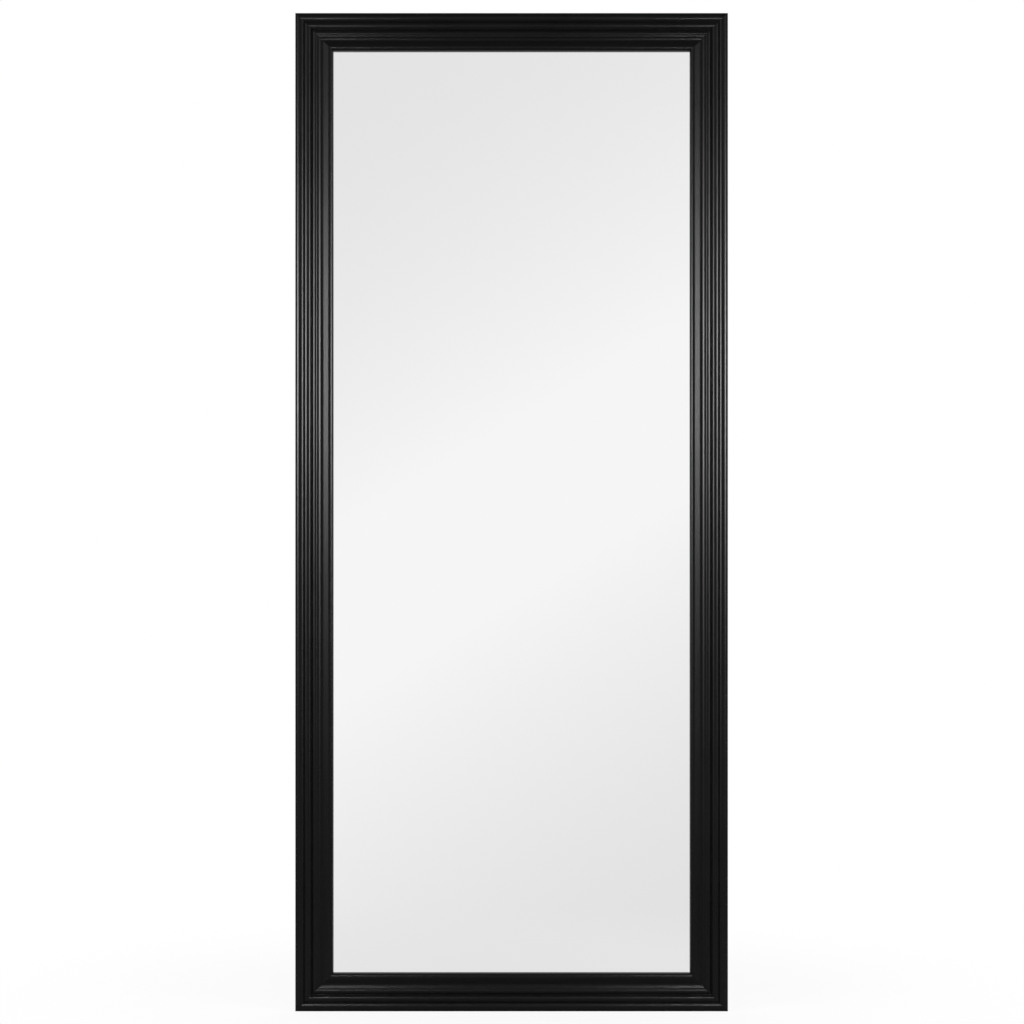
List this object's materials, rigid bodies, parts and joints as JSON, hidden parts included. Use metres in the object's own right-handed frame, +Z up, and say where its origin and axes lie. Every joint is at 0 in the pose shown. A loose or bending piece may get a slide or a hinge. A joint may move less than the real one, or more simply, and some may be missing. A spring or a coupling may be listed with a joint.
{
  "type": "framed wall mirror",
  "caption": "Tall rectangular wall mirror in a black reeded wooden frame with mitred corners, a back board held by turn buttons, and D-ring hangers.",
  "frame": {"origin": "under the middle of the mirror: centre of the bounding box's bottom, level with the bottom edge", "axes": "+Z up the mirror, +X to the right as seen from in front, +Y from the glass to the wall; the glass faces -Y"},
  "size_m": [0.65, 0.026, 1.5],
  "materials": {
    "black_painted_wood": "satin black paint",
    "silvered_glass": "polished, silvered behind",
    "white_foam": "closed-cell foam sheet",
    "hardboard": "bare pressed board",
    "spacer_rubber": "matt",
    "bumper_rubber": "matt",
    "zinc_steel": "bright zinc plating",
    "nail_steel": "dull spring steel"
  },
  "bodies": {
    "mirror": {"bottom_rail": "black_painted_wood", "top_rail": "black_painted_wood", "left_stile": "black_painted_wood", "right_stile": "black_painted_wood", "corner_v_nails": "nail_steel", "mirror_glass": "silvered_glass", "foam_liner": "white_foam", "back_board": "hardboard", "spacer_bottom_left": "spacer_rubber", "spacer_bottom_right": "spacer_rubber", "spacer_top_left": "spacer_rubber", "spacer_top_right": "spacer_rubber", "spacer_left_lower": "spacer_rubber", "spacer_left_upper": "spacer_rubber", "spacer_right_lower": "spacer_rubber", "spacer_right_upper": "spacer_rubber", "hanger_strap_left": "zinc_steel", "hanger_strap_right": "zinc_steel", "turn_button_screws": "zinc_steel", "hanger_screws": "zinc_steel", "wall_bumper_bottom_left": "bumper_rubber", "wall_bumper_bottom_right": "bumper_rubber", "wall_bumper_top_left": "bumper_rubber", "wall_bumper_top_right": "bumper_rubber"},
    "turn_button_left_1": {"turn_button_left_1": "zinc_steel"},
    "turn_button_right_1": {"turn_button_right_1": "zinc_steel"},
    "turn_button_left_2": {"turn_button_left_2": "zinc_steel"},
    "turn_button_right_2": {"turn_button_right_2": "zinc_steel"},
    "turn_button_left_3": {"turn_button_left_3": "zinc_steel"},
    "turn_button_right_3": {"turn_button_right_3": "zinc_steel"},
    "turn_button_left_4": {"turn_button_left_4": "zinc_steel"},
    "turn_button_right_4": {"turn_button_right_4": "zinc_steel"},
    "turn_button_bottom_left": {"turn_button_bottom_left": "zinc_steel"},
    "turn_button_top_left": {"turn_button_top_left": "zinc_steel"},
    "turn_button_bottom_right": {"turn_button_bottom_right": "zinc_steel"},
    "turn_button_top_right": {"turn_button_top_right": "zinc_steel"},
    "hanger_ring_left": {"hanger_ring_left": "zinc_steel"},
    "hanger_ring_right": {"hanger_ring_right": "zinc_steel"}
  },
  "joints": [
    {"name": "turn_left_1", "type": "hinge", "parent": "mirror", "child": "turn_button_left_1", "pos_m": [-0.28718, 0.0079, 0.15], "axis": [0, 1, 0], "continuous": true},
    {"name": "turn_right_1", "type": "hinge", "parent": "mirror", "child": "turn_button_right_1", "pos_m": [0.28718, 0.0079, 0.15], "axis": [0, 1, 0], "continuous": true},
    {"name": "turn_left_2", "type": "hinge", "parent": "mirror", "child": "turn_button_left_2", "pos_m": [-0.28718, 0.0079, 0.55], "axis": [0, 1, 0], "continuous": true},
    {"name": "turn_right_2", "type": "hinge", "parent": "mirror", "child": "turn_button_right_2", "pos_m": [0.28718, 0.0079, 0.55], "axis": [0, 1, 0], "continuous": true},
    {"name": "turn_left_3", "type": "hinge", "parent": "mirror", "child": "turn_button_left_3", "pos_m": [-0.28718, 0.0079, 0.95], "axis": [0, 1, 0], "continuous": true},
    {"name": "turn_right_3", "type": "hinge", "parent": "mirror", "child": "turn_button_right_3", "pos_m": [0.28718, 0.0079, 0.95], "axis": [0, 1, 0], "continuous": true},
    {"name": "turn_left_4", "type": "hinge", "parent": "mirror", "child": "turn_button_left_4", "pos_m": [-0.28718, 0.0079, 1.35], "axis": [0, 1, 0], "continuous": true},
    {"name": "turn_right_4", "type": "hinge", "parent": "mirror", "child": "turn_button_right_4", "pos_m": [0.28718, 0.0079, 1.35], "axis": [0, 1, 0], "continuous": true},
    {"name": "turn_bottom_left", "type": "hinge", "parent": "mirror", "child": "turn_button_bottom_left", "pos_m": [-0.14, 0.0079, 0.03782], "axis": [0, 1, 0], "continuous": true},
    {"name": "turn_top_left", "type": "hinge", "parent": "mirror", "child": "turn_button_top_left", "pos_m": [-0.14, 0.0079, 1.46218], "axis": [0, 1, 0], "continuous": true},
    {"name": "turn_bottom_right", "type": "hinge", "parent": "mirror", "child": "turn_button_bottom_right", "pos_m": [0.14, 0.0079, 0.03782], "axis": [0, 1, 0], "continuous": true},
    {"name": "turn_top_right", "type": "hinge", "parent": "mirror", "child": "turn_button_top_right", "pos_m": [0.14, 0.0079, 1.46218], "axis": [0, 1, 0], "continuous": true},
    {"name": "ring_swing_left", "type": "hinge", "parent": "mirror", "child": "hanger_ring_left", "pos_m": [-0.305, 0.00968, 1.222], "axis": [1, 0, 0], "range_deg": [0, 172]},
    {"name": "ring_swing_right", "type": "hinge", "parent": "mirror", "child": "hanger_ring_right", "pos_m": [0.305, 0.00968, 1.222], "axis": [1, 0, 0], "range_deg": [0, 172]}
  ]
}
